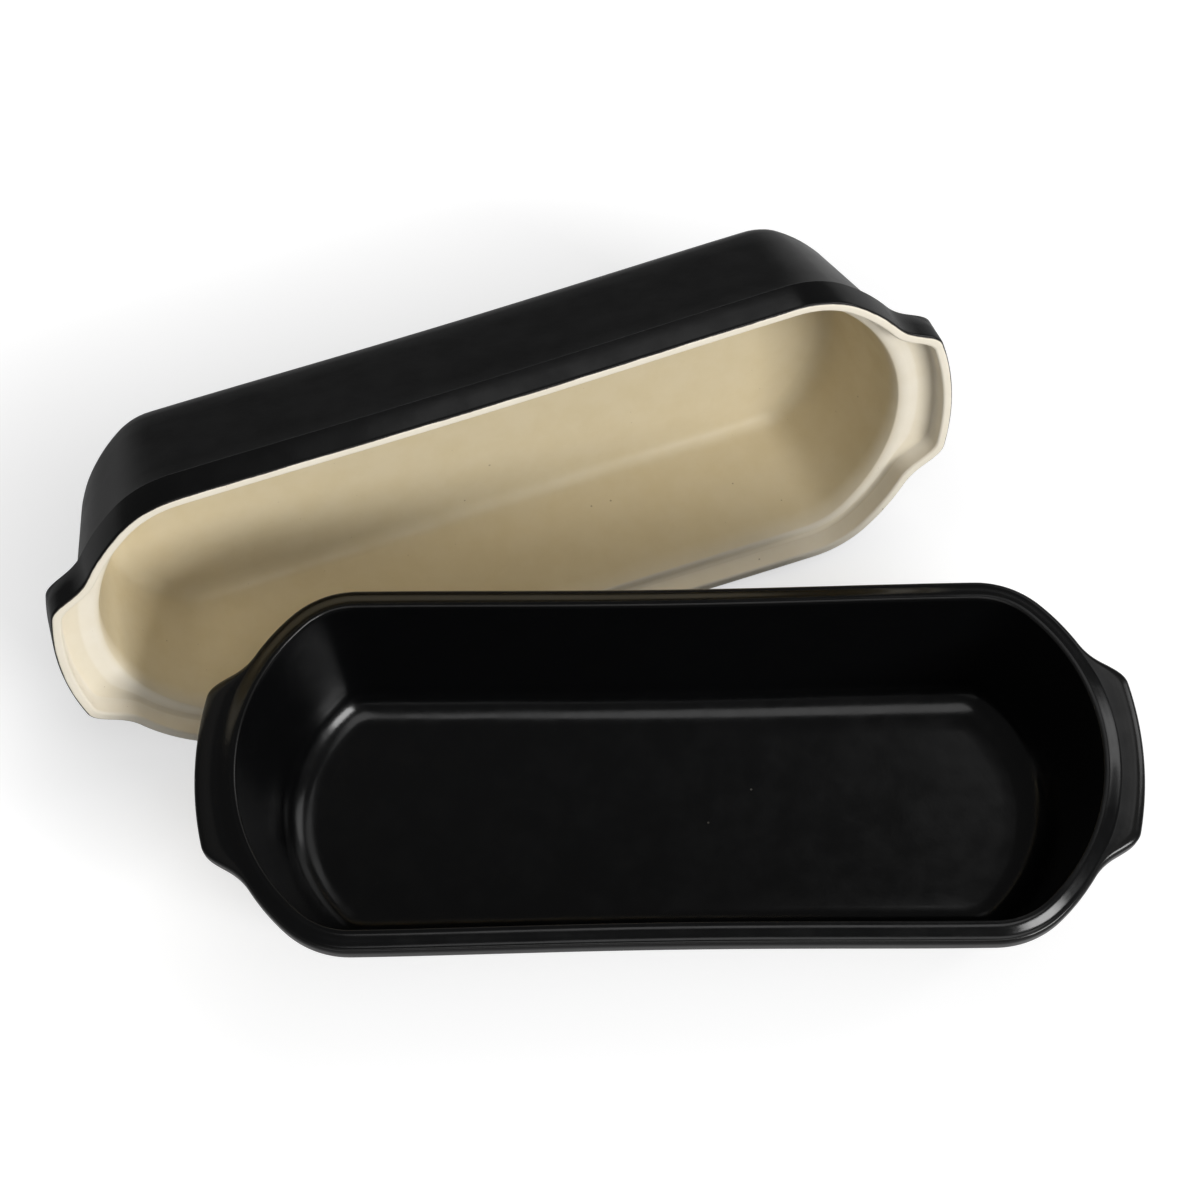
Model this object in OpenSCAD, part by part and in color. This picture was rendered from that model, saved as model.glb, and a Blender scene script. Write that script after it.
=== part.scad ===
// Long bread cloche in glazed stoneware: a long rounded baking base
// and a tall lid with the same plan, each with a lug at both ends.
// The lid lies on its long side behind the base, mouth to the front.
// Base foot centre is the origin, length along X, height along Z.

/* [Plan] */
// Length of the base over its lugs
base_length = 392; // [372:2:400]
// Width of the base
base_width = 158; // [150:1:160]
// How far each lug stands out past the rounded end
lug_reach = 8.5; // [8:0.5:10]
// Width of a lug where it meets the rim
lug_width = 85; // [80:1:90]
// Radius of the plan corners
corner_r = 40; // [38:1:44]
// Radius of the plan ends
end_r = 93; // [90:1:104]
// How far each long side draws in at its middle
waist = 1.2; // [0:0.2:2]

/* [Base] */
// Height of the rim ledge that the lid rests on
ledge_height = 76.5; // [74:0.5:84]
// Height of the collar above the ledge
collar_height = 2.6; // [2:0.2:3.4]
// Width of the ledge outside the collar
ledge_width = 5; // [4.8:0.1:5.6]
// Thickness of the collar at half its height
collar_wall = 4; // [3.4:0.1:4.4]
// Depth of the rim flange and its lugs
flange_depth = 10; // [8:0.5:12]
// Draft of the base wall
base_draft = 13; // [12:0.5:14]

/* [Lid] */
// How much longer the lid is than the base
lid_over = 6; // [4:0.5:7]
// Height of the lid above the ledge
lid_height = 74; // [66:1:78]
// Depth of the lid's rim flange and its lugs
lid_flange = 15.5; // [14:0.5:16]
// Width of the lid's lip
lip_width = 4.4; // [4:0.1:4.8]
// Depth of the recess inside the lip
recess_depth = 10; // [9:0.5:11]
// Draft of the lid wall
lid_draft = 15; // [14:0.5:15.5]
// Radius of the lid's top edge
crown_r = 13; // [10:1:16]

/* [Walls] */
// Thickness of the fired clay walls
wall = 6; // [5:0.5:7]
// Thickness of the glaze
glaze = 0.6; // [0.4:0.1:0.8]
// Height of the bare foot
foot_height = 1.5; // [1:0.5:2]

/* [Lid beside the base] */
// Turn of the lid about the vertical
park_turn = 18; // [14:1:18]
// Distance from the base's middle back to the lid's mouth
park_back = 118; // [118:1:150]
// Shift of the lid along its own length
park_side = -28; // [-40:1:20]

/* [Hidden] */
clay = "wheat";
charcoal = [0.13, 0.13, 0.14];

// Steps round a quarter of the plan: lug, corner and straight side
LUG_STEPS = 11;
CORNER_STEPS = 7;
SIDE_STEPS = 2;
LUG_ANGLE = 18;
CORNER_ANGLE = 32;

// Plan shapes: half length and half width of the rounded body, lug end
// from the middle, lug half width, corner radius and end radius
BASE = plan(base_length / 2, base_width / 2);
LID = plan((base_length + lid_over) / 2, (base_width + lid_over / 2) / 2);
LUG_END_R = 140;
LUG_FLARE = 22;
LUG_ROUND = 8;
LUG_FILLET = 8;
LUG_LIMIT = 23;

// Least radius that a plan corner keeps as its wall is drawn in
LEAST_CORNER = 3;

function plan(reach, half_width) =
    [reach - lug_reach, half_width, reach, lug_width / 2, corner_r, end_r];

// Far side of a circle on the x axis or off it, seen along angle a
function far_side(x, y, r, a) =
    let (d = x * cos(a) + y * sin(a))
    d + sqrt(max(0, d * d - x * x - y * y + r * r));

// Radius of the rounded body's plan at angle a, drawn in by t. Its long
// side is a straight line that bows in a little at its middle
function body_r(p, t, a) =
    let (corner = max(p[4], t + LEAST_CORNER),
         r = corner - t, e = p[5] - t, y = p[1] - corner, x0 = p[0] - p[5],
         x = x0 + sqrt(pow(e - r, 2) - y * y),
         turn = asin(y / (e - r)),
         on_end = atan2(e * sin(turn), x0 + e * cos(turn)),
         on_side = atan2(y + r, x))
    a >= on_side
        ? (y + r - waist * pow(1 - pow((y + r) / tan(a) / x, 2), 2)) / sin(a)
        : a >= on_end ? far_side(x, y, r, a) : far_side(x0, 0, e, a);

// Smooth smaller of two lengths, blended over k, and smooth larger
function soft_min(u, v, k) =
    min(u, v) - pow(max(k - abs(u - v), 0), 2) / (4 * k);
function soft_max(u, v, k) = -soft_min(-u, -v, k);

// Radius of the plan with its lugs at angle a, drawn in by t
function lug_r(p, t, a) =
    let (end = far_side(p[2] - LUG_END_R, 0, LUG_END_R - t, a),
         s = tan(LUG_FLARE),
         foot = p[3] - t / cos(LUG_FLARE) + (p[0] - 8) * s,
         side = foot / (sin(a) + cos(a) * s))
    a > LUG_LIMIT ? body_r(p, t, a)
        : soft_max(body_r(p, t, a), soft_min(end, side, LUG_ROUND),
                   LUG_FILLET);

// Angles of the plan's points: one quarter, then all the way round
QUARTER = concat(
    [for (i = [0 : LUG_STEPS - 1]) LUG_ANGLE * i / LUG_STEPS],
    [for (i = [0 : CORNER_STEPS - 1])
        LUG_ANGLE + (CORNER_ANGLE - LUG_ANGLE) * i / CORNER_STEPS],
    [for (i = [0 : SIDE_STEPS - 1])
        CORNER_ANGLE + (90 - CORNER_ANGLE) * i / SIDE_STEPS]);
N = 4 * len(QUARTER);
function quarter_angle(i) =
    let (n = N / 4, q = floor(i / n), k = i % n)
    q % 2 == 0 ? QUARTER[k] : k == 0 ? 90 : QUARTER[n - k];
function angle_at(i) =
    let (q = floor(i / (N / 4)), a = quarter_angle(i))
    q == 0 ? a : q == 1 ? 180 - a : q == 2 ? 180 + a : 360 - a;

// One ring of a wall. A level is [drawn in by, height, lug share, scale].
// A share below 0 draws both ends in by that share of the lug's reach
END_POWER = 8;
function ring(p, v) =
    let (k = len(v) > 3 ? v[3] : 1)
    [for (i = [0 : N - 1])
        let (q = quarter_angle(i), a = angle_at(i),
             b = body_r(p, v[0], q),
             reach = v[2] < 0 ? lug_reach * pow(cos(q), END_POWER)
                 : lug_r(p, v[0], q) - b,
             r = k * (b + v[2] * reach))
        [r * cos(a), r * sin(a), v[1]]];

// The same levels moved by d to the left of the way they run
function moved(levels, d) =
    [for (i = [0 : len(levels) - 1])
        let (u = levels[max(i - 1, 0)],
             v = levels[min(i + 1, len(levels) - 1)],
             q = levels[i],
             go = [v[0] - u[0], v[1] - u[1]],
             n = go / norm(go))
        concat([q[0] - n[1] * d, q[1] + n[0] * d],
               [for (k = [2 : len(q) - 1]) q[k]])];

function reversed(list) =
    [for (i = [len(list) - 1 : -1 : 0]) list[i]];

// Quarter arcs of levels: centre [inset, height], radius, two angles
function arc(c, r, a0, a1, n, lug = 0) =
    [for (i = [0 : n]) let (a = a0 + (a1 - a0) * i / n)
        [c[0] + r * cos(a), c[1] + r * sin(a), lug]];

// A closed wall through all its levels, with a point at each end.
// Each four-sided face is split along its shorter diagonal.
module loft(p, levels, start, end) {
    rings = [for (v = levels) ring(p, v)];
    m = len(rings);
    points = concat([[0, 0, start]], [for (r = rings, q = r) q],
                    [[0, 0, end]]);
    faces = [for (i = [0 : m - 2], j = [0 : N - 1])
        let (k = (j + 1) % N,
             a = 1 + i * N + j, b = 1 + i * N + k,
             c = 1 + (i + 1) * N + k, d = 1 + (i + 1) * N + j,
             ac = norm(points[a] - points[c]),
             bd = norm(points[b] - points[d]))
        each (ac <= bd ? [[a, b, c], [a, c, d]]
                       : [[a, b, d], [b, c, d]])];
    first = [for (j = [0 : N - 1]) [0, 1 + (j + 1) % N, 1 + j]];
    last = [for (j = [0 : N - 1])
        [m * N + 1, 1 + (m - 1) * N + j, 1 + (m - 1) * N + (j + 1) % N]];
    polyhedron(points, concat(first, faces, last));
}

// Base, from the middle of its floor up the inside, over the rim and
// down the outside to the edge of the foot
FLOOR = foot_height + wall + glaze;
INSET = ledge_width + collar_wall;
RIM_TOP = ledge_height + collar_height;
FLANGE_LOW = ledge_height - flange_depth;
function base_in(z) = INSET + (ledge_height - z) * tan(base_draft);
INNER_R = 18;
function inner_bend() =
    let (z = FLOOR + INNER_R,
         t = base_in(z) + INNER_R * (1 / cos(base_draft)))
    arc([t, z], INNER_R, 270, 180 - base_draft, 4);
OUTER_R = 20;
function base_out(z) = base_in(z) - wall / cos(base_draft) + 0.4;
function outer_bend() =
    let (z = foot_height + OUTER_R,
         t = base_out(z) + OUTER_R / cos(base_draft))
    arc([t, z], OUTER_R, 180 - base_draft, 262, 4);
FLOOR_BEND = inner_bend();
BASE_SKIN = concat(
    [[FLOOR_BEND[0][0] + 4, FLOOR, 0, 0.6]],
    FLOOR_BEND,
    [[INSET, ledge_height, 0],
     [INSET - 0.2, RIM_TOP - 0.8, 0],
     [INSET - 1.4, RIM_TOP, 0],
     [ledge_width + 1.6, RIM_TOP - 0.2 * collar_height, 0],
     [ledge_width - 0.5, RIM_TOP - 0.65 * collar_height, 0],
     [ledge_width - 3, ledge_height, 0],
     [1.6, ledge_height, 0.6],
     [0.6, ledge_height - 0.6, 0.9],
     [0, ledge_height - 2.4, 1],
     [0.3, FLANGE_LOW + 3, 1],
     [2.4, FLANGE_LOW, 1],
     [base_out(FLANGE_LOW - 1.5), FLANGE_LOW - 1.5, 0]],
    outer_bend());

// Lid, from the middle of its top down the outside to the lip
CROWN_Z = lid_height - 1 - crown_r;
CROWN_T = 3.6 + (CROWN_Z + crown_r * sin(lid_draft) - lid_flange - 3)
    * tan(lid_draft) + crown_r * cos(lid_draft);
LID_SKIN = concat(
    [[CROWN_T + 8, lid_height - 0.3, 0, 0.6]],
    arc([CROWN_T, CROWN_Z], crown_r, 90, 180 - lid_draft, 4),
    [[3.6, lid_flange + 3, 0],
     [2.9, lid_flange + 1.2, 0],
     [2.4, lid_flange + 0.4, 1],
     [1, lid_flange - 0.6, 1],
     [0.4, lid_flange - 2.6, 1],
     [0, 1.2, 1]]);

// Lid, from the lip round its recess and up the inside
LID_IN_R = crown_r - wall + 2;
// The mouth stands back from each end by this share of the lug's reach
MOUTH_SHARE = -0.4;
LID_LINING = concat(
    [[0, 1.2, 1],
     [1, 0, 1],
     [lip_width - 1, 0, 1],
     [lip_width, 1.2, 1],
     [lip_width + 0.5, recess_depth - 2, 1],
     [lip_width + 2, recess_depth, 1],
     [INSET, recess_depth, MOUTH_SHARE],
     [INSET + 1.6, recess_depth + 1.6, MOUTH_SHARE]],
    arc([CROWN_T + 0.5, CROWN_Z], LID_IN_R, 180 - lid_draft, 90, 3),
    [[CROWN_T + 8, lid_height - wall, 0, 0.6]]);

module base_body() {
    skin = moved(BASE_SKIN, glaze);
    edge = skin[len(skin) - 1][0];
    foot = [[edge, foot_height, 0], [edge + 1, foot_height, 0],
            [edge + 1, 0, 0]];
    color(clay) loft(BASE, concat(skin, foot), FLOOR - glaze, 0);
}

module base_glaze() {
    color(charcoal)
        loft(BASE, concat(BASE_SKIN, reversed(moved(BASE_SKIN, glaze))),
             FLOOR, FLOOR - glaze);
}

// The lid leans back until its flange and its top edge both touch down,
// but for a hair of daylight under its glaze
DAYLIGHT = 0.3;
LEAN_T = CROWN_T - 1;
LEAN_Z = CROWN_Z - lid_flange + 0.6;
lean = atan(LEAN_T / LEAN_Z) - asin(crown_r / norm([LEAN_T, LEAN_Z]));
park_height = (LID[1] - 1) * cos(lean) + (lid_flange - 0.6) * sin(lean)
    + DAYLIGHT;

// Puts the lid, drawn mouth down on the origin, where it lies
module beside() {
    rotate([0, 0, park_turn])
        translate([park_side, park_back, park_height])
            rotate([-90 - lean, 0, 0]) children();
}

module lid_body() {
    color(clay) beside()
        loft(LID, concat(moved(LID_SKIN, glaze), LID_LINING),
             lid_height - glaze, lid_height - wall);
}

module lid_glaze() {
    color(charcoal) beside()
        loft(LID, concat(LID_SKIN, reversed(moved(LID_SKIN, glaze))),
             lid_height, lid_height - glaze);
}

base_body();
base_glaze();
lid_body();
lid_glaze();
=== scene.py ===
"""Glazed stoneware bread cloche: the base stands, the lid lies behind it."""
import math

import bpy
import numpy as np
from bpy.props import FloatProperty, FloatVectorProperty, PointerProperty
from bpy.types import Operator, Panel, PropertyGroup
from mathutils import Matrix, Vector


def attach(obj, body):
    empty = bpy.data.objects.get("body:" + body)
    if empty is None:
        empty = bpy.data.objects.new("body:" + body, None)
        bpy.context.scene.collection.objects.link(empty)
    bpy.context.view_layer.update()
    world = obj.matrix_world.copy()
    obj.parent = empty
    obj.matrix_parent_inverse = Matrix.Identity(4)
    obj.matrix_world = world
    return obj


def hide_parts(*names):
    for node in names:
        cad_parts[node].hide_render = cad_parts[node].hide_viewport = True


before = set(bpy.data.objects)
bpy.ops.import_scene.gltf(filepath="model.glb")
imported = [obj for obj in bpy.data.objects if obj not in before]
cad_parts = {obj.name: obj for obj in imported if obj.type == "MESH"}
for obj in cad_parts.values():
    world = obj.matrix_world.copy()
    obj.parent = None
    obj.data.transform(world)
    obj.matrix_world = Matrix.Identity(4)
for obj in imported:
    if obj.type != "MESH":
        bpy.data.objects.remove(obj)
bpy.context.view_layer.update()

bl_info = {
    "name": "Bread Cloche",
    "version": (1, 0, 0),
    "blender": (4, 5, 0),
    "location": "3D View > Sidebar > Cloche",
    "description": "Builds the dark glazed base and the cream-lined lid of a long bread cloche",
    "category": "Add Mesh",
}

MM = 0.001

# Points round each piece, rings that close a flat, and the longest step
# along a wall in millimetres
POINTS_ROUND = 520
DISC_RINGS = 12
LONGEST_STEP = 9.0


def length(name, description, default, low=0.0):
    """A length in metres, up to 1 m."""
    return FloatProperty(name=name, description=description, default=default,
                         min=low, max=1.0, unit="LENGTH", subtype="DISTANCE")


def angle(name, description, degrees, low=-180, high=180):
    """An angle, given in degrees and kept in radians."""
    return FloatProperty(name=name, description=description,
                         default=math.radians(degrees), min=math.radians(low),
                         max=math.radians(high), unit="ROTATION", subtype="ANGLE")


def share(name, description, default):
    """A share between 0 and 1."""
    return FloatProperty(name=name, description=description, default=default,
                         min=0.0, max=1.0, subtype="FACTOR")


def colour(name, description, default):
    """A colour as linear red, green and blue."""
    return FloatVectorProperty(name=name, description=description, default=default,
                               min=0.0, max=1.0, size=3, subtype="COLOR")


class ClochePlan(PropertyGroup):
    """The outline seen from above, shared by the base and the lid"""
    length: length("Length", "Length of the base over its lugs", 0.392)
    width: length("Width", "Width of the base", 0.158)
    lug_reach: length("Lug reach", "How far a lug stands out past the rounded end", 0.0085)
    lug_width: length("Lug width", "Width of a lug where it meets the rim", 0.085)
    corner_radius: length("Corner radius", "Radius of the plan corners", 0.040)
    end_radius: length("End radius", "Radius of the plan ends", 0.093)
    waist: length("Waist", "How far each long side draws in at its middle", 0.0012)
    lid_over: length("Lid over", "How much longer the lid is than the base", 0.006)


class ClocheWalls(PropertyGroup):
    """Heights, drafts and thicknesses of both pieces"""
    ledge_height: length("Ledge height", "Height of the ledge that the lid rests on", 0.0765)
    collar_height: length("Collar height", "Height of the collar above the ledge", 0.0026)
    ledge_width: length("Ledge width", "Width of the ledge outside the collar", 0.005)
    collar_wall: length("Collar wall", "Thickness of the collar at half its height", 0.004)
    flange_depth: length("Flange depth", "Depth of the base's flange and lugs", 0.010)
    base_draft: angle("Base draft", "Slope of the base wall", 13, 0, 30)
    lid_height: length("Lid height", "Height of the lid above the ledge", 0.074)
    lid_flange: length("Lid flange", "Depth of the lid's flange and lugs", 0.0155)
    lip_width: length("Lip width", "Width of the lid's lip", 0.0044)
    recess_depth: length("Recess depth", "Depth of the recess inside the lip", 0.010)
    lid_draft: angle("Lid draft", "Slope of the lid wall", 15, 0, 30)
    crown_radius: length("Crown radius", "Radius of the lid's top edge", 0.013)
    wall: length("Wall", "Thickness of the fired clay", 0.006)
    glaze: length("Glaze", "Thickness of the charcoal glaze", 0.0006)
    foot: length("Foot", "Height of the bare foot", 0.0015)


class ClochePlace(PropertyGroup):
    """Where the lid lies"""
    turn: angle("Turn", "Turn of the lid about the vertical", 18)
    lean: angle("Lean", "How far the lid leans back", 16.781)
    side: length("Side", "Shift of the lid along its own length", -0.028, -1.0)
    back: length("Back", "Distance from the base's middle back to the lid's mouth", 0.118)
    height: length("Height", "Height of the middle of the lid's mouth", 0.080716)


class ClocheLooks(PropertyGroup):
    """Colours and finish of glaze and clay"""
    charcoal: colour("Charcoal", "Colour of the dark glaze", (0.0022, 0.0023, 0.0025))
    charcoal_thin: colour("Charcoal where thin", "Dark glaze on sharp edges",
                          (0.0085, 0.0083, 0.0081))
    charcoal_rough: share("Charcoal roughness", "Roughness of the dark glaze", 0.20)
    cream: colour("Cream", "Colour of the cream lip and recess", (0.88, 0.815, 0.685))
    # Inside colour: partly a warmer lining, partly painted shade deep in the lid
    cream_inside_and_shade: colour("Cream inside", "Colour of the cream inside the lid", (0.66, 0.555, 0.345))
    cream_rough: share("Cream roughness", "Roughness of the cream lining", 0.42)
    clay: colour("Clay", "Colour of the bare clay", (0.50, 0.42, 0.32))
    floor: colour("Floor", "Colour of the floor", (0.50, 0.50, 0.50))


def plan_of(reach, half_width, p):
    """Half length and half width of the rounded body, lug end from the middle,
    lug half width, corner radius, end radius and waist, in millimetres."""
    return (reach - p.lug_reach / MM, half_width, reach, p.lug_width / MM / 2,
            p.corner_radius / MM, p.end_radius / MM, p.waist / MM)


def far_side(x, y, r, a):
    """Far side of a circle, centre (x, y) and radius r, seen along angle a:
    d + sqrt(d^2 - x^2 - y^2 + r^2), where d = x cos a + y sin a."""
    d = x * np.cos(a) + y * np.sin(a)
    return d + np.sqrt(np.maximum(d * d - x * x - y * y + r * r, 0))


# Least radius of a plan corner, and radius of the lip's outer edge
LEAST_CORNER = 3.0
LIP_ROUND = 1.4


def body_radius(p, t, a):
    """Distance to the rounded body's outline drawn in by t: a long side that
    bows in by waist * (1 - u^2)^2, where u runs from 0 at its middle to 1, then
    a corner arc, then an end arc, each taking its own span of angles.
    The corner keeps a radius of LEAST_CORNER as it is drawn in."""
    corner = np.maximum(p[4], t + LEAST_CORNER)
    r, e = corner - t, p[5] - t
    y, x0 = p[1] - corner, p[0] - p[5]
    x = x0 + np.sqrt((e - r) ** 2 - y * y)
    turn = np.arcsin(y / (e - r))
    on_end = np.arctan2(e * np.sin(turn), x0 + e * np.cos(turn))
    on_side = np.arctan2(y + r, x)
    u = np.clip((y + r) / np.maximum(np.tan(a), 1e-6) / x, 0, 1)
    straight = (y + r - p[6] * (1 - u * u) ** 2) / np.maximum(np.sin(a), 1e-6)
    return np.where(a >= on_side, straight,
                    np.where(a >= on_end, far_side(x, y, r, a), far_side(x0, 0, e, a)))


def soft_min(u, v, k):
    """Smaller of u and v, blended over k: min(u, v) - max(k - |u - v|, 0)^2 / 4k."""
    return np.minimum(u, v) - np.maximum(k - np.abs(u - v), 0) ** 2 / (4 * k)


LUG_END_RADIUS, LUG_ROUND, LUG_FILLET = 140.0, 8.0, 8.0
LUG_FLARE, LUG_LIMIT = math.radians(22), math.radians(23)


def lug_radius(p, t, a):
    """Distance to the outline with its lugs: the smooth larger of the body and
    of a lug, which is the smooth smaller of an end arc and a flared side. Past
    the limit angle the outline is the body's alone."""
    end = far_side(p[2] - LUG_END_RADIUS, 0, LUG_END_RADIUS - t, a)
    s = math.tan(LUG_FLARE)
    foot = p[3] - t / math.cos(LUG_FLARE) + (p[0] - 8) * s
    side = foot / (np.sin(a) + np.cos(a) * s)
    body = body_radius(p, t, a)
    return np.where(a > LUG_LIMIT, body,
                    -soft_min(-body, -soft_min(end, side, LUG_ROUND), LUG_FILLET))


# Points that measure the outline, and how the steps crowd at the lugs: by
# how much, about which angle and how widely
OUTLINE_POINTS = 20001
LUG_CROWD, LUG_MIDDLE, LUG_SPREAD = 1.6, math.radians(13), math.radians(9)


def angles_round(p):
    """Angles of the points round a piece, at even steps of arc length along the
    outline. At the lugs the steps are shorter by 1 + 1.6 exp(-x^2), where x is
    the angle from the lug's flank over the spread."""
    fine = np.linspace(0, math.tau, OUTLINE_POINTS)
    q = np.arctan2(np.abs(np.sin(fine)), np.abs(np.cos(fine)))
    r = lug_radius(p, 0.0, q)
    xy = np.stack([r * np.cos(fine), r * np.sin(fine)], 1)
    step = np.linalg.norm(np.diff(xy, axis=0), axis=1)
    near = 1 + LUG_CROWD * np.exp(-((q[1:] - LUG_MIDDLE) / LUG_SPREAD) ** 2)
    along = np.concatenate([[0], np.cumsum(step * near)])
    even = np.arange(POINTS_ROUND) / POINTS_ROUND * along[-1]
    return np.interp(even, along, fine)


def rings(p, levels, a):
    """One ring of points for each level (inset, height, lug share, scale):
    radius = scale * (body + share * (lug - body)) at every angle. A share
    below 0 gives scale * (body + share * lug reach * cos(angle)^8)."""
    v = np.asarray(levels, float)
    q = np.arctan2(np.abs(np.sin(a)), np.abs(np.cos(a)))[None, :]
    t, share_of = v[:, 0][:, None], v[:, 2][:, None]
    body = body_radius(p, t, q)
    reach = np.where(share_of < 0, (p[2] - p[0]) * np.cos(q) ** 8, lug_radius(p, t, q) - body)
    r = v[:, 3][:, None] * (body + share_of * reach)
    return np.stack([r * np.cos(a), r * np.sin(a), np.broadcast_to(v[:, 1][:, None], r.shape)], 2)


# Half the angle of a corner that is taken as straight, the share of a side
# that an arc may use, and the longest step of an arc
STRAIGHT, SIDE_SHARE, ARC_STEP = math.radians(89.5), 0.49, math.radians(11)


def rounded(corners):
    """A profile with each corner (inset, height, lug share, radius) turned into
    an arc of that radius. The lug share runs evenly along lines and arcs."""
    c = np.asarray(corners, float)
    out = [np.append(c[0, :3], 1.0)]
    for before, here, after in zip(c[:-2], c[1:-1], c[2:]):
        u = before[:2] - here[:2]
        w = after[:2] - here[:2]
        lu, lw = np.linalg.norm(u), np.linalg.norm(w)
        u, w = u / lu, w / lw
        half = math.acos(np.clip(u @ w, -1, 1)) / 2
        if here[3] <= 0 or half > STRAIGHT:
            out.append(np.append(here[:3], 1.0))
            continue
        cut = min(here[3] / math.tan(half), SIDE_SHARE * lu, SIDE_SHARE * lw)
        r = cut * math.tan(half)
        mid = here[:2] + (u + w) / np.linalg.norm(u + w) * r / math.sin(half)
        first, last = here[:2] + u * cut, here[:2] + w * cut
        a0 = math.atan2(*(first - mid)[::-1])
        sweep = (math.atan2(*(last - mid)[::-1]) - a0 + math.pi) % math.tau - math.pi
        n = max(3, int(math.ceil(abs(sweep) / ARC_STEP)))
        s0 = here[2] + (before[2] - here[2]) * cut / lu
        s1 = here[2] + (after[2] - here[2]) * cut / lw
        f = np.linspace(0, 1, n + 1)
        arc = np.stack([mid[0] + r * np.cos(a0 + sweep * f), mid[1] + r * np.sin(a0 + sweep * f),
                        s0 + (s1 - s0) * f, np.ones(n + 1)], 1)
        out.extend(arc)
    out.append(np.append(c[-1, :3], 1.0))
    return np.array(out)


def spaced(levels):
    """The same profile with its long straight runs cut so that none is longer
    than the longest step."""
    out = [levels[0]]
    for u, v in zip(levels[:-1], levels[1:]):
        n = max(1, int(math.ceil(np.linalg.norm(v[:2] - u[:2]) / LONGEST_STEP)))
        out.extend(u + (v - u) * k / n for k in range(1, n + 1))
    return np.array(out)


def moved(levels, d):
    """Each level moved by d to the left of the way the profile runs."""
    go = np.gradient(levels[:, :2], axis=0)
    go /= np.maximum(np.linalg.norm(go, axis=1, keepdims=True), 1e-9)
    out = levels.copy()
    out[:, 0] -= go[:, 1] * d
    out[:, 1] += go[:, 0] * d
    return out


def disc(level):
    """Rings that close a flat: the level's outline at scales from 1 to 0."""
    scale = 1 - np.arange(1, DISC_RINGS) / DISC_RINGS
    out = np.repeat(level[None, :], len(scale), 0)
    out[:, 3] = scale
    return out


def bend_of(levels):
    """How sharply the profile turns outwards (above 0) or inwards (below 0) at
    each level: turning angle over length, in radians per millimetre."""
    d = np.diff(levels[:, :2], axis=0)
    size = np.maximum(np.linalg.norm(d, axis=1), 1e-6)
    heading = np.unwrap(np.arctan2(d[:, 1], d[:, 0]))
    turn = np.zeros(len(levels))
    turn[1:-1] = np.diff(heading) / np.maximum((size[1:] + size[:-1]) / 2, 0.05)
    flat = levels[:, 3] < 1
    flat[1:] |= flat[:-1]
    flat[:-1] |= flat[1:]
    turn[flat | (np.abs(turn) > 4)] = 0
    return turn


def closed_mesh(name, shell, marks, matrix=None):
    """A closed surface through the rings, with a pole at each end. Faces are
    quads between neighbouring rings and triangles at the poles, wound so that
    the enclosed volume is positive. Each mark is written as a point attribute
    from its one value per ring; the UV map runs round (u) and along (v)."""
    m, n = shell.shape[:2]
    first, last = shell[0].mean(0), shell[-1].mean(0)
    points = np.concatenate([first[None], shell.reshape(-1, 3), last[None]]) * MM
    if matrix is not None:
        points = points @ matrix[:3, :3].T + matrix[:3, 3]
    j = np.arange(n)
    k = (j + 1) % n
    row = 1 + np.arange(m - 1)[:, None] * n
    quads = np.stack([row + j, row + k, row + n + k, row + n + j], 2).reshape(-1, 4)
    start = np.stack([np.zeros(n, int), 1 + k, 1 + j], 1)
    end = 1 + (m - 1) * n
    finish = np.stack([np.full(n, m * n + 1), end + j, end + k], 1)
    tris = np.concatenate([start, quads[:, [0, 1, 2]], quads[:, [0, 2, 3]], finish])
    p, q, r = (points[tris[:, i]] for i in range(3))
    if np.einsum("ij,ij->i", p, np.cross(q, r)).sum() < 0:
        quads, start, finish = quads[:, ::-1], start[:, ::-1], finish[:, ::-1]
    loops = np.concatenate([start.ravel(), quads.ravel(), finish.ravel()])
    sizes = np.concatenate([np.full(n, 3), np.full(len(quads), 4), np.full(n, 3)])
    mesh = bpy.data.meshes.new(name)
    mesh.vertices.add(len(points))
    mesh.vertices.foreach_set("co", points.ravel())
    mesh.loops.add(len(loops))
    mesh.loops.foreach_set("vertex_index", loops)
    mesh.polygons.add(len(sizes))
    starts = np.concatenate([[0], np.cumsum(sizes)[:-1]])
    mesh.polygons.foreach_set("loop_start", starts)
    mesh.polygons.foreach_set("loop_total", sizes)
    mesh.update(calc_edges=True)
    mesh.polygons.foreach_set("use_smooth", np.ones(len(sizes), bool))
    for title, values in marks.items():
        at = np.concatenate([values[:1], np.repeat(values, n), values[-1:]])
        mesh.attributes.new(title, "FLOAT", "POINT").data.foreach_set("value", at)
    along = np.concatenate([[0], np.cumsum(np.linalg.norm(np.diff(shell[:, 0], axis=0), axis=1))])
    u = np.concatenate([[0.5], np.tile(j / n, m), [0.5]])
    v = np.concatenate([[0], np.repeat(along, n) * MM, [along[-1] * MM]])
    uv = np.stack([u, v], 1)[loops]
    wrap = np.repeat(np.maximum.reduceat(uv[:, 0], starts), sizes)
    uv[:, 0] += (wrap > 0.75) & (uv[:, 0] < 0.25)
    mesh.uv_layers.new(name="UVMap").data.foreach_set("uv", uv.ravel())
    mesh.validate()
    piece = bpy.data.objects.new(name, mesh)
    bpy.context.scene.collection.objects.link(piece)
    return piece


def lofted(name, plan, levels, matrix=None, **marks):
    """A closed piece: the levels' rings carried round the plan. It is marked
    with how sharply it bends and with any other marks given."""
    shell = rings(plan, levels, angles_round(plan))
    return closed_mesh(name, shell, {"bend": bend_of(levels), **marks}, matrix)


# The lid's mouth stands back from each end by this share of the lug's reach
MOUTH_SHARE = -0.4

# Where the lid's outer wall starts: in from the lip and up from the flange
WALL_INSET, WALL_START = 3.6, 3


def base_plan(s):
    """The plan of the base."""
    return plan_of(s.plan.length / MM / 2, s.plan.width / MM / 2, s.plan)


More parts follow.
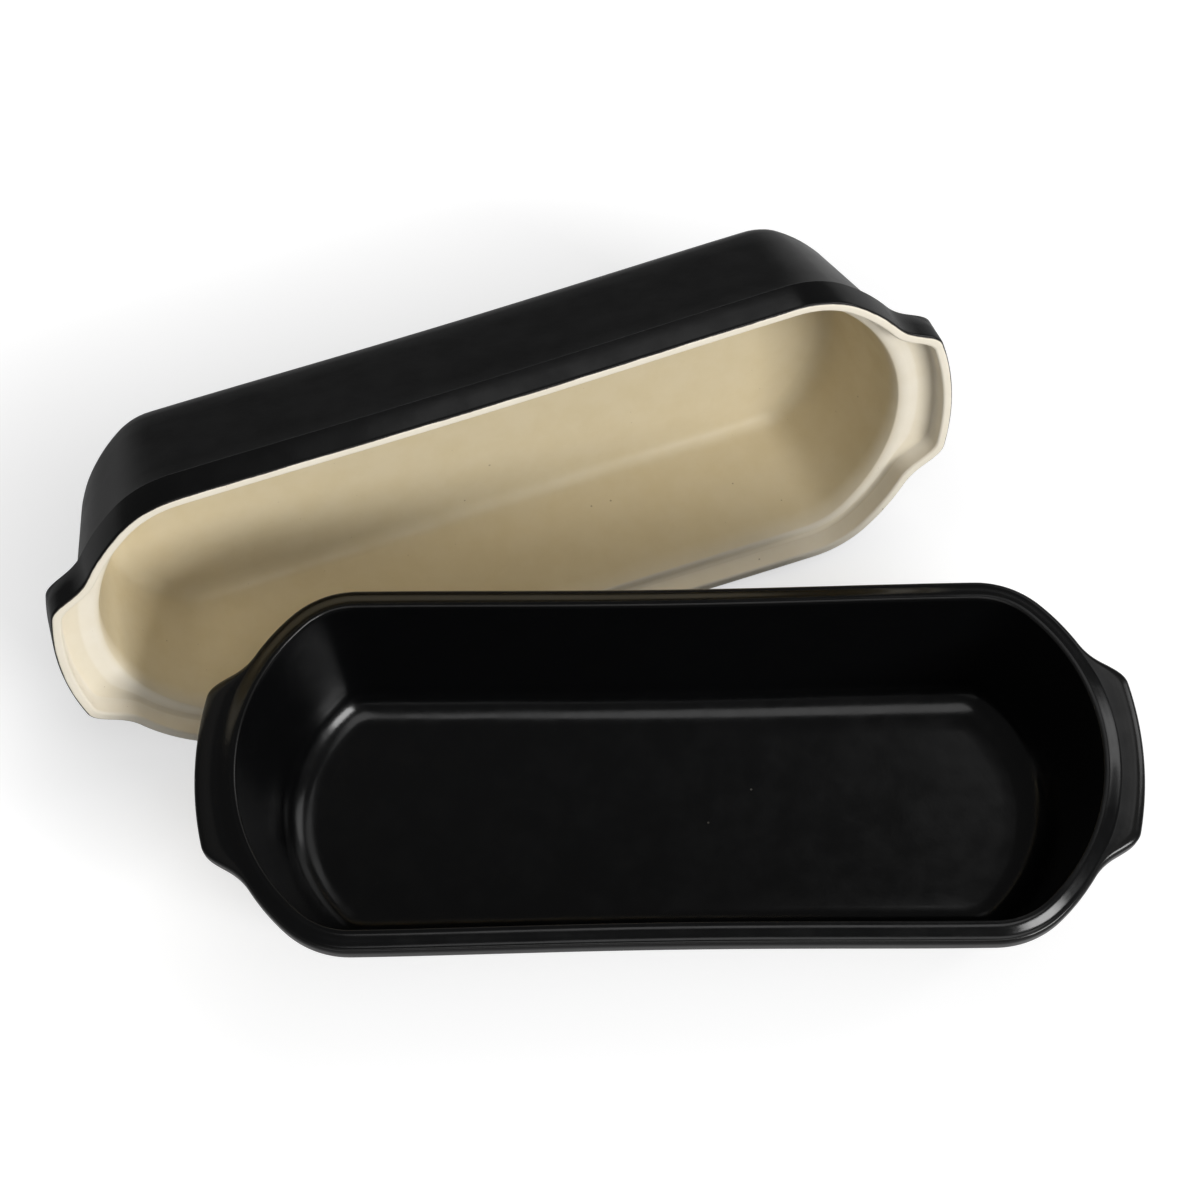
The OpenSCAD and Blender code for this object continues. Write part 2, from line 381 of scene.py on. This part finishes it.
def lid_plan(s):
    """The plan of the lid, longer than the base and half as much wider."""
    over = s.plan.lid_over / MM
    return plan_of((s.plan.length / MM + over) / 2, (s.plan.width / MM + over / 2) / 2, s.plan)


def mm(group, *names):
    """The named lengths of a group of settings, in millimetres."""
    return [getattr(group, n) / MM for n in names]


def base_skin(s):
    """Outside of the dark coat, from the edge of the floor up the inside, over
    the collar and the ledge, round the flange and down to the foot. From the
    collar to the ledge the height falls by collar * (3 f^2 - 2 f^3), where f
    runs from 0 to 1, and the ledge's outer edge is a quarter of an ellipse."""
    w = s.walls
    ledge, collar, step, thick, flange, wall, glaze, foot = mm(
        w, "ledge_height", "collar_height", "ledge_width", "collar_wall",
        "flange_depth", "wall", "glaze", "foot")
    slope = math.tan(w.base_draft)
    inset, top, low = step + thick, ledge + collar, ledge - flange
    floor = foot + wall + glaze

    def inside(z):
        return inset + (ledge - z) * slope

    def outside(z):
        return inside(z) - wall / math.cos(w.base_draft) + 0.4

    upper = rounded([
        (inside(floor) + 24, floor, 0, 0),
        (inside(floor), floor, 0, 18),
        (inset, ledge, 0, 9),
        (inset - 0.1, top, 0, 1.5),
        (inset - 1.7, top, 0, 0)])
    f = np.linspace(0, 1, 15)[1:]
    slide = np.stack([inset - 1.7 + (3.2 - thick - step) * f,
                      top - collar * f * f * (3 - 2 * f), 0.10 * f * f, np.ones(14)], 1)
    q = np.linspace(0, math.pi / 2, 10)
    edge = np.stack([1.45 * (1 - np.sin(q)), ledge - 2.6 * (1 - np.cos(q)),
                     0.6 + 0.4 * np.sin(q), np.ones(10)], 1)
    lower = rounded([
        (0, ledge - 2.6, 1, 0),
        (0.25, low + 0.3, 1, 2.8),
        (outside(low - 1.5), low - 1.0, 0, 1.8),
        (outside(foot), foot, 0, 20),
        (outside(foot) + 22, foot + 0.1, 0, 0)])[1:-1]
    return np.concatenate([upper, slide, edge, lower])


def lip_edge(first, last):
    """Outer edge of the lip: part of a quarter circle between two angles."""
    turn = [math.radians(first + (last - first) * k / 5) for k in range(6)]
    return [(LIP_ROUND * (1 + math.cos(q)), LIP_ROUND * (1 + math.sin(q)), 1, 0) for q in turn]


def lid_wall(w, z):
    """Inset of the lid's outer wall at height z: its start above the flange
    plus the height from there times the slope."""
    flange, = mm(w, "lid_flange")
    return WALL_INSET + (z - flange - WALL_START) * math.tan(w.lid_draft)


def lid_skin(s):
    """Outside of the dark coat, from the edge of the crown down to the lip."""
    w = s.walls
    height, flange, radius = mm(w, "lid_height", "lid_flange", "crown_radius")
    top = height - 1.0
    return rounded([
        (lid_wall(w, top) + 26, height - 0.4, 0, 0),
        (lid_wall(w, top), top, 0, radius),
        (3.5, flange + 1.6, 0, 3.0),
        (2.3, flange, 0.55, 0),
        (0.6, flange - 0.2, 1, 1.5),
        (0.0, 2.0, 1, 0)] + lip_edge(180, 225))


def lid_lining(s):
    """Cream side, from the lip round the recess and up the inside."""
    w = s.walls
    height, lip, depth, step, thick, wall, radius = mm(
        w, "lid_height", "lip_width", "recess_depth", "ledge_width", "collar_wall",
        "wall", "crown_radius")
    inset = step + thick
    top = height - wall
    far = lid_wall(w, top) + wall / math.cos(w.lid_draft)
    return rounded(lip_edge(225, 270) + [
        (lip, 0.0, 1, 1.3),
        (lip + 0.7, depth, 1, 2.6),
        (inset, depth, MOUTH_SHARE, 1.6),
        (far, top, 0, radius - wall + 2),
        (far + 22, top + 0.1, 0, 0)])


def with_discs(levels):
    """The profile with a flat of shrinking rings at each of its ends."""
    return np.concatenate([disc(levels[0])[::-1], levels, disc(levels[-1])])


def coat(levels, thickness):
    """A thin closed coat: the skin one way, then its back the other way."""
    back = moved(levels, thickness)[::-1]
    return with_discs(np.concatenate([levels, back]))


def lid_matrix(s):
    """Turn about X by -90 degrees and the lean, move, then turn about Z."""
    place = s.place
    m = (Matrix.Rotation(place.turn, 4, "Z")
         @ Matrix.Translation((place.side, place.back, place.height))
         @ Matrix.Rotation(-math.pi / 2 - place.lean, 4, "X"))
    return np.array(m)


# Small marks in the glaze and the clay
DARK_PIT = (0.09, 0.085, 0.075)
IRON_SPECK = (0.33, 0.22, 0.12)
CREAM_PIT = (0.28, 0.20, 0.12)
COAT_EDGE = (0.045, 0.036, 0.028)
CLAY_STAIN = (0.36, 0.29, 0.22)
CLAY_SPECK = (0.16, 0.11, 0.08)


def new_group(name, inputs, outputs):
    """An empty shader node group with float inputs and the given outputs."""
    group = bpy.data.node_groups.new(name, "ShaderNodeTree")
    for title, kind, default in inputs:
        socket = group.interface.new_socket(title, in_out="INPUT", socket_type=kind)
        socket.default_value = default
    for title, kind in outputs:
        group.interface.new_socket(title, in_out="OUTPUT", socket_type=kind)
    return group, group.nodes.new("NodeGroupInput"), group.nodes.new("NodeGroupOutput")


def node(tree, kind, links=(), **values):
    """A node with its properties and socket values set, and links put in.
    A key that names an input sets that input; others are properties."""
    made = tree.nodes.new(kind)
    for key, value in values.items():
        if key in made.inputs:
            made.inputs[key].default_value = value
        else:
            setattr(made, key, value)
    for socket, source in dict(links).items():
        tree.links.new(source, made.inputs[socket])
    return made


def maths(tree, operation, a, b=None, clamp=False):
    """One sum on numbers or sockets."""
    made = tree.nodes.new("ShaderNodeMath")
    made.operation, made.use_clamp = operation, clamp
    for socket, value in zip(made.inputs, (a, b)):
        if isinstance(value, (int, float)):
            socket.default_value = value
        elif value is not None:
            tree.links.new(value, socket)
    return made.outputs[0]


def times(tree, a, b):
    """The product of two numbers or sockets."""
    return maths(tree, "MULTIPLY", a, b)


def ramp(tree, value, low, high, to_low=0.0, to_high=1.0):
    """The value carried smoothly from one range to another."""
    made = node(tree, "ShaderNodeMapRange", {"Value": value}, interpolation_type="SMOOTHSTEP")
    for title, number in (("From Min", low), ("From Max", high),
                          ("To Min", to_low), ("To Max", to_high)):
        made.inputs[title].default_value = number
    return made.outputs["Result"]


def noise(tree, where, scale, detail, roughness):
    """The grey value of a noise pattern."""
    return node(tree, "ShaderNodeTexNoise", {"Vector": where}, Scale=scale,
                Detail=detail, Roughness=roughness).outputs["Fac"]


def mixed(tree, share_of, first, second):
    """Two colours, the second by its share."""
    made = tree.nodes.new("ShaderNodeMix")
    made.data_type = "RGBA"
    # Sockets 0, 6 and 7 of the node are its factor and its two colours
    for place, value in ((0, share_of), (6, first), (7, second)):
        socket = made.inputs[place]
        if isinstance(value, (int, float)):
            socket.default_value = value
        elif isinstance(value, tuple):
            socket.default_value = (*value, 1.0)
        else:
            tree.links.new(value, socket)
    return made.outputs[2]


def pits_group():
    """Scattered pinholes: a mask that is 1 in small spots round a share of the
    cells of a Voronoi pattern."""
    group, start, end = new_group(
        "Pinholes", [("Spacing", "NodeSocketFloat", 0.012), ("Size", "NodeSocketFloat", 0.06),
                     ("Share", "NodeSocketFloat", 0.25)], [("Mask", "NodeSocketFloat")])
    where = group.nodes.new("ShaderNodeTexCoord").outputs["Object"]
    scale = maths(group, "DIVIDE", 1.0, start.outputs["Spacing"])
    cells = node(group, "ShaderNodeTexVoronoi", {"Vector": where, "Scale": scale}, feature="F1")
    spot = maths(group, "LESS_THAN", cells.outputs["Distance"], start.outputs["Size"])
    pick = node(group, "ShaderNodeSeparateColor", {"Color": cells.outputs["Color"]})
    keep = maths(group, "LESS_THAN", pick.outputs["Red"], start.outputs["Share"])
    group.links.new(times(group, spot, keep), end.inputs["Mask"])
    return group


def skin_group():
    """The surface of a fired glaze: a height with long ripples and fine orange
    peel, and a cloudiness that varies its gloss."""
    group, start, end = new_group(
        "Glaze Surface", [("Ripple", "NodeSocketFloat", 1.0), ("Peel", "NodeSocketFloat", 1.0)],
        [("Height", "NodeSocketFloat"), ("Cloud", "NodeSocketFloat")])
    where = group.nodes.new("ShaderNodeTexCoord").outputs["Object"]
    ripple = noise(group, where, 28.0, 2.0, 0.45)
    peel = noise(group, where, 620.0, 2.0, 0.5)
    high = maths(group, "ADD", times(group, ripple, start.outputs["Ripple"]),
                 times(group, peel, start.outputs["Peel"]))
    group.links.new(high, end.inputs["Height"])
    group.links.new(noise(group, where, 75.0, 5.0, 0.6), end.inputs["Cloud"])
    return group


def new_material(name, **sockets):
    """A material with numbers set on its shader's own sockets."""
    material = bpy.data.materials.new(name)
    material.use_nodes = True
    tree = material.node_tree
    shader = tree.nodes["Principled BSDF"]
    for title, value in sockets.items():
        shader.inputs[title.replace("_", " ")].default_value = value
    return material, tree, shader


def place_group(tree, group, **values):
    """A node that uses a shared group with its inputs set."""
    made = tree.nodes.new("ShaderNodeGroup")
    made.node_tree = group
    for title, value in values.items():
        made.inputs[title].default_value = value
    return made


def mark(tree, name):
    """The value of a mark that the mesh carries."""
    return node(tree, "ShaderNodeAttribute", attribute_name=name).outputs["Fac"]


def dress(tree, shader, high, base, rough=None):
    """Puts a height in metres, a colour and a roughness on the shader."""
    bump = node(tree, "ShaderNodeBump", {"Height": high}, Strength=1.0, Distance=1.0)
    tree.links.new(bump.outputs["Normal"], shader.inputs["Normal"])
    tree.links.new(base, shader.inputs["Base Color"])
    if rough is not None:
        tree.links.new(rough, shader.inputs["Roughness"])


def charcoal_glaze(s, groups):
    """Satin charcoal glaze: nearly black, greyer where it has drawn thin over
    an edge, with clouded gloss and rare pinholes."""
    looks = s.looks
    material, tree, shader = new_material("Charcoal Glaze", IOR=1.5, Specular_IOR_Level=0.35)
    skin = place_group(tree, groups["skin"], Ripple=0.00035, Peel=0.000012)
    pits = place_group(tree, groups["pits"], Spacing=0.017, Size=0.030,
                       Share=0.18).outputs["Mask"]
    thin = ramp(tree, mark(tree, "bend"), 0.12, 0.75)
    cloud = ramp(tree, skin.outputs["Cloud"], 0.35, 0.7)
    base = mixed(tree, times(tree, thin, 0.75), tuple(looks.charcoal),
                 tuple(looks.charcoal_thin))
    base = mixed(tree, pits, base, DARK_PIT)
    rough = maths(tree, "ADD", looks.charcoal_rough - 0.03, times(tree, cloud, 0.07))
    high = maths(tree, "SUBTRACT", skin.outputs["Height"], times(tree, pits, 0.00008))
    dress(tree, shader, high, base, rough)
    return material


def cream_lining(s, groups):
    """Cream clay under clear glaze: warmer and darker in concave bends, partly
    glaze pooled in the hollows and partly painted crease shade, and darker
    deep inside the lid, partly painted shade, with faint clouds, iron specks,
    small pits and the uneven edge of the dark coat along the lip."""
    looks = s.looks
    material, tree, shader = new_material("Cream Lining", IOR=1.5, Specular_IOR_Level=0.4)
    skin = place_group(tree, groups["skin"], Ripple=0.0003, Peel=0.00002)
    pits = place_group(tree, groups["pits"], Spacing=0.011, Size=0.045,
                       Share=0.22).outputs["Mask"]
    specks = place_group(tree, groups["pits"], Spacing=0.0042, Size=0.07,
                         Share=0.12).outputs["Mask"]
    # Concave bends blend toward the darker inside colour: partly glaze pooled in hollows, partly
    # painted crease shade
    pooled_and_crease_shade = ramp(tree, times(tree, mark(tree, "bend"), -1.0), 0.05, 0.6)
    cloud = ramp(tree, skin.outputs["Cloud"], 0.3, 0.75)
    warmth_and_shade = maths(tree, "ADD", times(tree, pooled_and_crease_shade, 0.30), times(tree, cloud, 0.12))
    # Painted shade: deep inside the lid the lining blends toward the darker inside colour
    warmth_and_shade = maths(tree, "ADD", warmth_and_shade, times(tree, mark(tree, "deep"), 0.8), clamp=True)
    base = mixed(tree, warmth_and_shade, tuple(looks.cream), tuple(looks.cream_inside_and_shade))
    base = mixed(tree, times(tree, specks, 0.35), base, IRON_SPECK)
    base = mixed(tree, times(tree, pits, 0.55), base, CREAM_PIT)
    wander = maths(tree, "SUBTRACT", mark(tree, "rim"),
                   times(tree, skin.outputs["Cloud"], 1.1))
    base = mixed(tree, ramp(tree, wander, -0.45, -0.05, 1.0, 0.0), base, COAT_EDGE)
    rough = maths(tree, "ADD", looks.cream_rough - 0.05, times(tree, cloud, 0.12))
    high = maths(tree, "SUBTRACT", skin.outputs["Height"], times(tree, pits, 0.0002))
    dress(tree, shader, high, base, rough)
    return material


def bare_clay(s, groups):
    """Unglazed fired clay of the foot: rough, sandy, slightly stained."""
    material, tree, shader = new_material("Bare Clay", Roughness=0.85)
    where = tree.nodes.new("ShaderNodeTexCoord").outputs["Object"]
    stain = ramp(tree, noise(tree, where, 35.0, 5.0, 0.6), 0.35, 0.7)
    specks = place_group(tree, groups["pits"], Spacing=0.0035, Size=0.09, Share=0.3)
    base = mixed(tree, stain, tuple(s.looks.clay), CLAY_STAIN)
    base = mixed(tree, specks.outputs["Mask"], base, CLAY_SPECK)
    grain = noise(tree, where, 900.0, 4.0, 0.7)
    dress(tree, shader, times(tree, grain, 0.00012), base)
    return material


def finish_of(name):
    """The named material, made when it is first asked for."""
    s = bpy.context.scene.cloche
    found = bpy.data.materials.get(name)
    if found:
        return found
    groups = {"pits": bpy.data.node_groups.get("Pinholes") or pits_group(),
              "skin": bpy.data.node_groups.get("Glaze Surface") or skin_group()}
    makers = {"Charcoal Glaze": charcoal_glaze, "Cream Lining": cream_lining,
              "Bare Clay": bare_clay}
    return makers[name](s, groups)


def settle(piece, body, cad_node, finish):
    """The piece rides on its body, stands for its CAD node and gets a finish."""
    piece.data.materials.append(finish_of(finish))
    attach(piece, body)
    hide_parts(cad_node)


# Clay stays this far under the glaze, in millimetres
UNDER = 0.02


class CLOCHE_OT_base_clay(Operator):
    """Build the clay body of the base, which shows only at its foot"""
    bl_idname = "cloche.base_clay"
    bl_label = "Base clay"

    def execute(self, context):
        s = context.scene.cloche
        glaze, foot = mm(s.walls, "glaze", "foot")
        skin = moved(spaced(base_skin(s)), glaze + UNDER)
        edge = skin[-1]
        step = np.array([[edge[0] + 0.2, foot, 0, 1], [edge[0] + 0.8, foot - 0.1, 0, 1],
                         [edge[0] + 1.0, foot - 0.4, 0, 1], [edge[0] + 1.1, 0.3, 0, 1],
                         [edge[0] + 1.5, 0.0, 0, 1]])
        piece = lofted("base_clay", base_plan(s), with_discs(np.concatenate([skin, step])))
        settle(piece, "base", "base_body", "Bare Clay")
        return {"FINISHED"}


class CLOCHE_OT_base_glaze(Operator):
    """Build the charcoal coat of the base, inside and outside"""
    bl_idname = "cloche.base_glaze"
    bl_label = "Base glaze"

    def execute(self, context):
        s = context.scene.cloche
        levels = coat(spaced(base_skin(s)), s.walls.glaze / MM)
        piece = lofted("base_glaze_coat", base_plan(s), levels)
        settle(piece, "base", "base_glaze", "Charcoal Glaze")
        return {"FINISHED"}


class CLOCHE_OT_lid_clay(Operator):
    """Build the clay body of the lid with its cream lining, recess and lip.
    The mark "deep" runs from 0 in the recess to 1 inside the lid, where it
    blends the lining toward a colour that is partly painted shade, and "rim"
    is the distance from the edge of the dark coat in millimetres"""
    bl_idname = "cloche.lid_clay"
    bl_label = "Lid clay"

    def execute(self, context):
        s = context.scene.cloche
        skin = moved(spaced(lid_skin(s)), s.walls.glaze / MM + UNDER)
        lining = spaced(lid_lining(s))
        levels = with_discs(np.concatenate([skin, lining]))
        edge = DISC_RINGS - 1 + len(skin)
        inner = np.arange(len(levels)) >= edge
        f = np.clip((levels[:, 1] - s.walls.recess_depth / MM - 0.1) / 2.0, 0, 1)
        step = np.linalg.norm(np.diff(levels[:, :2], axis=0, prepend=levels[:1, :2]), axis=1)
        step[:edge + 1] = 0
        piece = lofted("lid_clay", lid_plan(s), levels, lid_matrix(s),
                       deep=inner * f * f * (3 - 2 * f), rim=np.minimum(np.cumsum(step), 9.0))
        settle(piece, "lid", "lid_body", "Cream Lining")
        return {"FINISHED"}


class CLOCHE_OT_lid_glaze(Operator):
    """Build the charcoal coat on the outside of the lid"""
    bl_idname = "cloche.lid_glaze"
    bl_label = "Lid glaze"

    def execute(self, context):
        s = context.scene.cloche
        levels = coat(spaced(lid_skin(s)), s.walls.glaze / MM)
        piece = lofted("lid_glaze_coat", lid_plan(s), levels, lid_matrix(s))
        settle(piece, "lid", "lid_glaze", "Charcoal Glaze")
        return {"FINISHED"}


def add_light(name, position, size, power):
    """A soft rectangular lamp at a position in metres, turned to the object."""
    lamp = bpy.data.lights.new(name, "AREA")
    lamp.shape = "RECTANGLE"
    lamp.size, lamp.size_y = size
    lamp.energy = power
    obj = bpy.data.objects.new(name, lamp)
    obj.location = position
    away = Vector(LAMP_AIM) - Vector(position)
    obj.rotation_euler = away.to_track_quat("-Z", "Y").to_euler()
    bpy.context.scene.collection.objects.link(obj)


# Camera: what it looks at, and its angles in degrees
CAMERA_AIM = (-0.0276, 0.0728, 0.0765)
CAMERA_DISTANCE = 1.264
CAMERA_AZIMUTH, CAMERA_ELEVATION, CAMERA_ROLL = -0.2, 67.5, -0.66
CAMERA_LENS = 90.0


def add_camera():
    """The camera stands off its aim by a distance, an azimuth from -Y and an
    elevation, in degrees, and is rolled about its own line of sight."""
    az, el, roll = (math.radians(v) for v in (CAMERA_AZIMUTH, CAMERA_ELEVATION, CAMERA_ROLL))
    back = Vector((math.sin(az) * math.cos(el), -math.cos(az) * math.cos(el), math.sin(el)))
    right = Vector((0, 0, 1)).cross(back).normalized()
    up = back.cross(right)
    right_r = right * math.cos(roll) + up * math.sin(roll)
    up_r = up * math.cos(roll) - right * math.sin(roll)
    data = bpy.data.cameras.new("Camera")
    data.lens, data.sensor_width = CAMERA_LENS, 36.0
    data.clip_start, data.clip_end = 0.05, 20.0
    cam = bpy.data.objects.new("Camera", data)
    cam.matrix_world = Matrix.Translation(Vector(CAMERA_AIM) + back * CAMERA_DISTANCE) @ Matrix(
        (right_r, up_r, back)).transposed().to_4x4()
    bpy.context.scene.collection.objects.link(cam)
    bpy.context.scene.camera = cam


# Strength of the even light of the room, what the lamps point at, and the
# lamps: place, size and watts
ROOM_LIGHT = 0.12
LAMP_AIM = (0, 0.05, 0.05)
LAMPS = (("key", (2.76, -2.35, 2.20), (2.0, 1.6), 144.0),
         ("fill", (-0.6, -3.2, 1.3), (2.2, 1.2), 10.0),
         ("top", (0.6, -0.9, 3.6), (2.2, 1.6), 20.0),
         ("high", (1.1, 1.3, 2.7), (1.1, 1.1), 4.0),
         ("side", (2.45, 1.10, 1.35), (0.8, 1.5), 10.0),
         ("back", (-0.27, 2.4, 1.41), (0.75, 0.5), 0.9))

# Turn, middle and half size of each footprint, in degrees and metres
FOOTPRINTS = ((0, (0.0, 0.0, 0.0), (0.15, 0.04, 0.0)),
              (-18, (-0.028, 0.155, 0.0), (0.16, 0.04, 0.0)))

# Half the width of the floor, the distances from the footprints between
# which its glow grows, and the glow at each of them
FLOOR_HALF = 6.0
GLOW_REACH = (0.02, 0.22)
GLOW_STRENGTH = (0.62, 1.0)


def distance_to_box(tree, where, turn, middle, half):
    """Distance in metres from a box on the floor, after a turn about Z."""
    where = node(tree, "ShaderNodeVectorRotate", {"Vector": where}, rotation_type="Z_AXIS",
                 Angle=math.radians(turn)).outputs[0]
    for operation, number in (("SUBTRACT", middle), ("ABSOLUTE", None), ("SUBTRACT", half),
                              ("MAXIMUM", (0, 0, 0)), ("LENGTH", None)):
        step = tree.nodes.new("ShaderNodeVectorMath")
        step.operation = operation
        tree.links.new(where, step.inputs[0])
        if number is not None:
            step.inputs[1].default_value = number
        where = step.outputs["Value" if operation == "LENGTH" else "Vector"]
    return where


def pale_floor(s):
    """The floor: to the camera it glows a little, so that it is white where no
    shadow falls, and it glows fully away from the object. Other rays see only
    its own colour."""
    material, tree, shader = new_material("Pale Floor", Roughness=0.9, Specular_IOR_Level=0.1)
    shader.inputs["Base Color"].default_value = (*s.looks.floor, 1.0)
    shader.inputs["Emission Strength"].default_value = 1.0
    where = tree.nodes.new("ShaderNodeTexCoord").outputs["Object"]
    near = maths(tree, "MINIMUM", *(distance_to_box(tree, where, *box) for box in FOOTPRINTS))
    seen = tree.nodes.new("ShaderNodeLightPath").outputs["Is Camera Ray"]
    glow = times(tree, ramp(tree, near, *GLOW_REACH, *GLOW_STRENGTH), seen)
    tree.links.new(glow, shader.inputs["Emission Color"])
    return material


class CLOCHE_OT_stage(Operator):
    """Set up the floor, the soft lamps, the surroundings and the camera"""
    bl_idname = "cloche.stage"
    bl_label = "Stage"

    def execute(self, context):
        s = context.scene.cloche
        mesh = bpy.data.meshes.new("floor")
        r = FLOOR_HALF
        mesh.from_pydata([(-r, -r, 0), (r, -r, 0), (r, r, 0), (-r, r, 0)], [], [(0, 1, 2, 3)])
        floor = bpy.data.objects.new("floor", mesh)
        context.scene.collection.objects.link(floor)
        mesh.materials.append(pale_floor(s))

        context.scene.view_settings.view_transform = "Standard"
        world = bpy.data.worlds.new("Soft Studio")
        world.use_nodes = True
        context.scene.world = world
        tree = world.node_tree
        seen = tree.nodes.new("ShaderNodeLightPath").outputs["Is Camera Ray"]
        tree.links.new(mixed(tree, seen, (ROOM_LIGHT,) * 3, (1.0,) * 3),
                       tree.nodes["Background"].inputs["Color"])
        for lamp in LAMPS:
            add_light(*lamp)
        add_camera()
        return {"FINISHED"}


STEPS = (CLOCHE_OT_stage, CLOCHE_OT_base_clay, CLOCHE_OT_base_glaze, CLOCHE_OT_lid_clay,
         CLOCHE_OT_lid_glaze)


class CLOCHE_PT_panel(Panel):
    """Lists the steps that build the cloche"""
    bl_idname = "CLOCHE_PT_panel"
    bl_label = "Bread Cloche"
    bl_space_type = "VIEW_3D"
    bl_region_type = "UI"
    bl_category = "Cloche"

    def draw(self, context):
        for step in STEPS:
            self.layout.operator(step.bl_idname)


class ClocheSettings(PropertyGroup):
    """All the settings of the cloche"""
    plan: PointerProperty(type=ClochePlan, name="Plan", description="Outline from above")
    walls: PointerProperty(type=ClocheWalls, name="Walls", description="Heights and thicknesses")
    place: PointerProperty(type=ClochePlace, name="Place", description="Where the lid lies")
    looks: PointerProperty(type=ClocheLooks, name="Looks", description="Colours and finish")


CLASSES = (ClochePlan, ClocheWalls, ClochePlace, ClocheLooks, ClocheSettings, *STEPS,
           CLOCHE_PT_panel)


def register():
    """Add the settings, the operators and the panel."""
    for cls in CLASSES:
        bpy.utils.register_class(cls)
    bpy.types.Scene.cloche = PointerProperty(type=ClocheSettings)


def unregister():
    """Take them away again."""
    del bpy.types.Scene.cloche
    for cls in reversed(CLASSES):
        bpy.utils.unregister_class(cls)


def main():
    """Build every piece and the stage."""
    register()
    for step in STEPS:
        family, name = step.bl_idname.split(".")
        getattr(getattr(bpy.ops, family), name)()


if __name__ == "__main__":
    main()
